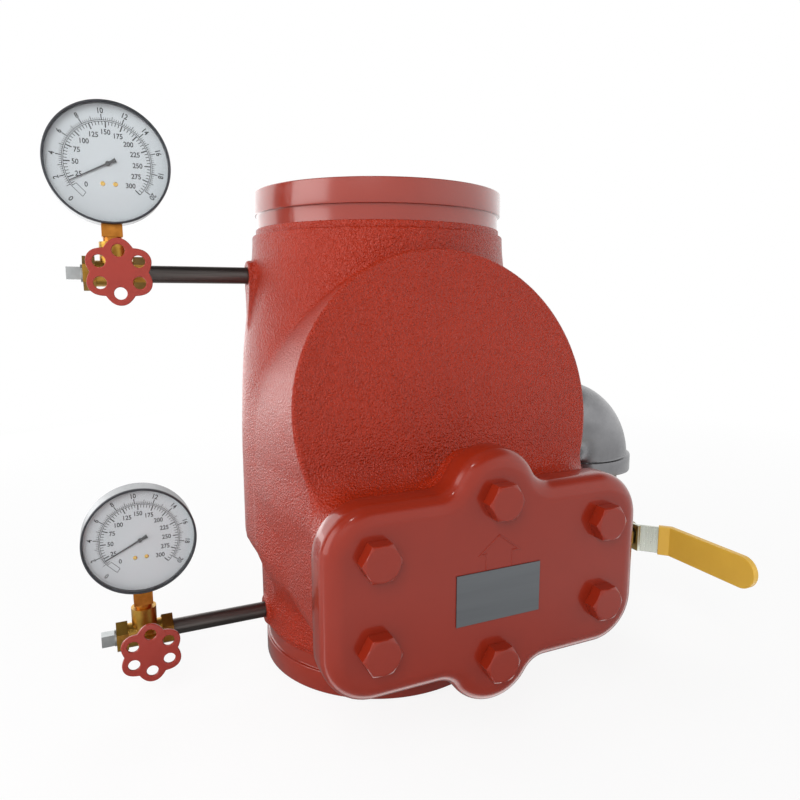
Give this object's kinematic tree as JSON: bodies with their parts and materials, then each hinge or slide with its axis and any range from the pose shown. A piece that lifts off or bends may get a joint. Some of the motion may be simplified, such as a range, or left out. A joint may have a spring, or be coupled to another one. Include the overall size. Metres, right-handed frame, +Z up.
{
  "type": "swing non-return valve",
  "caption": "Grooved-end swing check valve for a fire-protection riser, with a bolted access cover, pressure gauges on shut-off valves and a drain line with a lever ball valve.",
  "frame": {"origin": "on the riser axis, at the lower (inlet) end face", "axes": "+Z up along the riser in the direction of flow, the access cover faces -Y, the drain line is at +X and the gauges at -X"},
  "size_m": [0.5536, 0.3479, 0.4755],
  "materials": {
    "body_paint": "fine orange-peel texture on cast iron",
    "cover_paint": "smooth semi-gloss enamel",
    "wheel_paint": "satin enamel",
    "bronze": "machined",
    "brass": "cast and machined",
    "drain_brass": "cast",
    "copper_alloy": "machined, copper coloured",
    "bare_iron": "as cast",
    "galvanised": "galvanised malleable iron",
    "black_pipe": "black steel pipe",
    "plug_zinc": "zinc plated",
    "stainless": "turned stainless steel",
    "lever_plate": "zinc plated pressed steel",
    "ball_chrome": "polished chrome plate",
    "case_steel": "satin stainless steel",
    "ring_black": "satin black",
    "gauge_glass": "clear window",
    "dial_face": "matt printed aluminium",
    "needle_black": "matt",
    "seal_rubber": "moulded",
    "gasket_sheet": "sheet",
    "seat_plastic": "moulded PTFE",
    "plate_grey": "matt, bare",
    "vinyl_yellow": "dipped vinyl"
  },
  "bodies": {
    "valve": {"body": "body_paint", "seat_ring": "bronze", "hinge_pin": "stainless", "hinge_clips": "stainless", "access_cover": "cover_paint", "cover_gasket": "gasket_sheet", "cover_bolts": "cover_paint", "label_plate": "plate_grey", "upper_nipple": "black_pipe", "upper_valve_body": "brass", "upper_bonnet": "brass", "upper_packing_nut": "brass", "upper_port_plug": "plug_zinc", "upper_gauge_socket": "copper_alloy", "upper_gauge_case": "case_steel", "upper_gauge_ring": "ring_black", "upper_gauge_lens": "gauge_glass", "upper_gauge_dial": "dial_face", "lower_nipple": "black_pipe", "lower_valve_body": "brass", "lower_bonnet": "brass", "lower_packing_nut": "brass", "lower_port_plug": "plug_zinc", "lower_gauge_socket": "copper_alloy", "lower_gauge_case": "case_steel", "lower_gauge_ring": "ring_black", "lower_gauge_lens": "gauge_glass", "lower_gauge_dial": "dial_face", "drain_nipple": "black_pipe", "drain_elbow": "galvanised", "drain_riser": "black_pipe", "drain_valve_body": "drain_brass", "drain_valve_end": "drain_brass", "drain_ball_seats": "seat_plastic", "drain_packing_nut": "drain_brass"},
    "clapper": {"clapper_disc": "bare_iron", "clapper_seal": "seal_rubber", "seal_retainer": "stainless", "retainer_screws": "stainless", "clapper_arm": "bare_iron", "clapper_nut": "stainless"},
    "upper_shutoff": {"upper_valve_disc": "brass"},
    "upper_wheel": {"upper_valve_stem": "stainless", "upper_handwheel": "wheel_paint"},
    "upper_needle": {"upper_pointer": "needle_black"},
    "lower_shutoff": {"lower_valve_disc": "brass"},
    "lower_wheel": {"lower_valve_stem": "stainless", "lower_handwheel": "wheel_paint"},
    "lower_needle": {"lower_pointer": "needle_black"},
    "drain_handle": {"drain_ball": "ball_chrome", "drain_stem": "stainless", "drain_lever": "lever_plate", "drain_lever_nut": "stainless", "lever_sleeve": "vinyl_yellow"}
  },
  "joints": [
    {"name": "clapper_swing", "type": "hinge", "parent": "valve", "child": "clapper", "pos_m": [0, -0.134, 0.1242], "axis": [1, 0, 0], "range_deg": [0, 80]},
    {"name": "upper_shutoff_lift", "type": "slide", "parent": "valve", "child": "upper_shutoff", "axis": [0, 1, 0], "range_m": [0, 0.003]},
    {"name": "upper_wheel_turn", "type": "hinge", "parent": "upper_shutoff", "child": "upper_wheel", "pos_m": [-0.22, -0.006, 0.35], "axis": [0, 1, 0], "range_deg": [0, 720]},
    {"name": "upper_needle_swing", "type": "hinge", "parent": "valve", "child": "upper_needle", "pos_m": [-0.2225, -0.0096, 0.431], "axis": [0, 1, 0], "range_deg": [-18, 252], "stiffness_Nm_per_rad": 0.01},
    {"name": "lower_shutoff_lift", "type": "slide", "parent": "valve", "child": "lower_shutoff", "axis": [0, 1, 0], "range_m": [0, 0.003]},
    {"name": "lower_wheel_turn", "type": "hinge", "parent": "lower_shutoff", "child": "lower_wheel", "pos_m": [-0.214, -0.006, 0.0495], "axis": [0, 1, 0], "range_deg": [0, 720]},
    {"name": "lower_needle_swing", "type": "hinge", "parent": "valve", "child": "lower_needle", "pos_m": [-0.2165, -0.0096, 0.1345], "axis": [0, 1, 0], "range_deg": [-18, 252], "stiffness_Nm_per_rad": 0.01},
    {"name": "drain_lever_turn", "type": "hinge", "parent": "valve", "child": "drain_handle", "pos_m": [0.199, -0.06, 0.085], "axis": [-1, 0, 0], "range_deg": [0, 90]}
  ],
  "couplings": [
    {"joint": "upper_shutoff_lift", "follows": "upper_wheel_turn", "m_per_rad": 0.00023873},
    {"joint": "lower_shutoff_lift", "follows": "lower_wheel_turn", "m_per_rad": 0.00023873}
  ]
}
